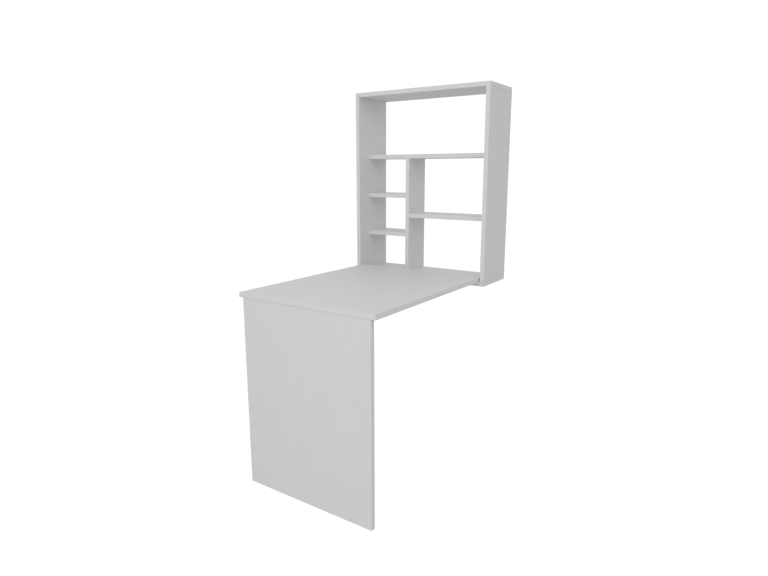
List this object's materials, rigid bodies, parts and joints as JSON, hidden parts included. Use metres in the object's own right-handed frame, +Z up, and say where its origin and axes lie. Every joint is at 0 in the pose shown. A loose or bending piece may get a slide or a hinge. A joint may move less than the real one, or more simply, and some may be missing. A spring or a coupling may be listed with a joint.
{
  "type": "wall-mounted fold-out secretary desk",
  "caption": "Wall-hung open shelf cabinet whose tabletop folds out on side pivots and stands on a hinged panel leg that folds under it.",
  "frame": {"origin": "on the floor under the middle of the whole desk, tabletop open and leg down", "axes": "+X to the right seen from the front, +Y towards the wall, +Z up"},
  "size_m": [0.64, 0.9582, 1.5045],
  "materials": {
    "white_board": "white melamine-faced board, matt",
    "abs_edging": "white ABS edging, satin",
    "beech": "plain beech",
    "bright_steel": "zinc-plated",
    "zinc_casting": "as-cast zinc alloy",
    "plated_steel": "nickel-plated",
    "white_lacquer": "white lacquered steel",
    "white_plastic": "moulded polypropylene",
    "grey_nylon": "moulded grey nylon",
    "magnet_iron": "ground ferrite"
  },
  "bodies": {
    "cabinet": {"bottom_panel": "white_board", "bottom_panel_edging": "abs_edging", "top_panel": "white_board", "top_panel_edging": "abs_edging", "left_side": "white_board", "left_side_edging": "abs_edging", "right_side": "white_board", "right_side_edging": "abs_edging", "upper_shelf": "white_board", "upper_shelf_edging": "abs_edging", "divider": "white_board", "divider_edging": "abs_edging", "lower_left_shelf": "white_board", "lower_left_shelf_edging": "abs_edging", "upper_left_shelf": "white_board", "upper_left_shelf_edging": "abs_edging", "right_shelf": "white_board", "right_shelf_edging": "abs_edging", "dowels": "beech", "cam_bolts": "bright_steel", "cam_locks": "zinc_casting", "cam_covers": "white_plastic", "panel_screws": "bright_steel", "screw_caps": "white_plastic", "wall_hangers": "plated_steel", "hanger_screws": "bright_steel", "pivot_bushes": "grey_nylon", "catch_strike": "white_lacquer"},
    "tabletop": {"tabletop": "white_board", "tabletop_edging": "abs_edging", "pivot_pins": "bright_steel", "pivot_washers": "grey_nylon", "catch_barrel": "white_plastic", "catch_magnet": "magnet_iron", "tabletop_hinge_leaves": "plated_steel", "tabletop_hinge_screws": "bright_steel", "hinge_pins": "bright_steel"},
    "leg": {"leg_panel": "white_board", "leg_panel_edging": "abs_edging", "leg_hinge_leaves": "plated_steel", "leg_hinge_screws": "bright_steel", "leg_glides": "grey_nylon"}
  },
  "joints": [
    {"name": "tabletop_fold", "type": "hinge", "parent": "cabinet", "child": "tabletop", "pos_m": [0, 0.2746, 0.731], "axis": [-1, 0, 0], "range_deg": [0, 90]},
    {"name": "leg_fold", "type": "hinge", "parent": "tabletop", "child": "leg", "pos_m": [0, -0.4569, 0.719], "axis": [1, 0, 0], "range_deg": [0, 90]}
  ]
}
